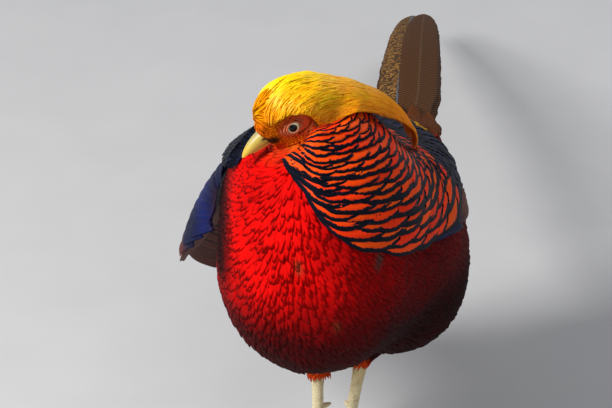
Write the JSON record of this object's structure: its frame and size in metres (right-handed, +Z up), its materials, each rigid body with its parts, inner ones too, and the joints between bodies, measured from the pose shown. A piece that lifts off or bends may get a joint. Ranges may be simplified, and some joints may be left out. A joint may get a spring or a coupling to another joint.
{
  "type": "golden pheasant model",
  "caption": "Life-size golden pheasant cock with crest, barred cape, long tail and turned head, standing as a display model.",
  "frame": {"origin": "on the floor under the middle of the bird's bounding box", "axes": "+Z up, -Y the way the breast faces, +X the bird's left; the tail runs back along +Y"},
  "size_m": [0.2432, 0.7508, 0.3141],
  "materials": {
    "body": "soft scarlet plumage, matt",
    "cape": "silky orange feathers barred blue-black",
    "crest": "silky golden feathers",
    "bill": "pale horn, satin",
    "eye": "pale iris, glossy",
    "wing": "dark maroon and blue flight feathers, matt",
    "tail": "brown speckled feathers, matt",
    "thigh": "soft rufous plumage, matt",
    "leg": "pale scaled skin, satin",
    "claw": "dark horn, satin"
  },
  "bodies": {
    "root": {"bill_lower": "bill", "bill_upper": "bill", "claw_left_hind": "claw", "claw_left_inner": "claw", "claw_left_middle": "claw", "claw_left_outer": "claw", "claw_right_hind": "claw", "claw_right_inner": "claw", "claw_right_middle": "claw", "claw_right_outer": "claw", "eye_left": "eye", "eye_right": "eye", "foot_left": "leg", "foot_right": "leg", "head": "crest", "neck": "cape", "shank_left": "leg", "shank_right": "leg", "tail": "tail", "thigh_left": "thigh", "thigh_right": "thigh", "torso": "body", "wing_left": "wing", "wing_right": "wing"}
  },
  "joints": []
}
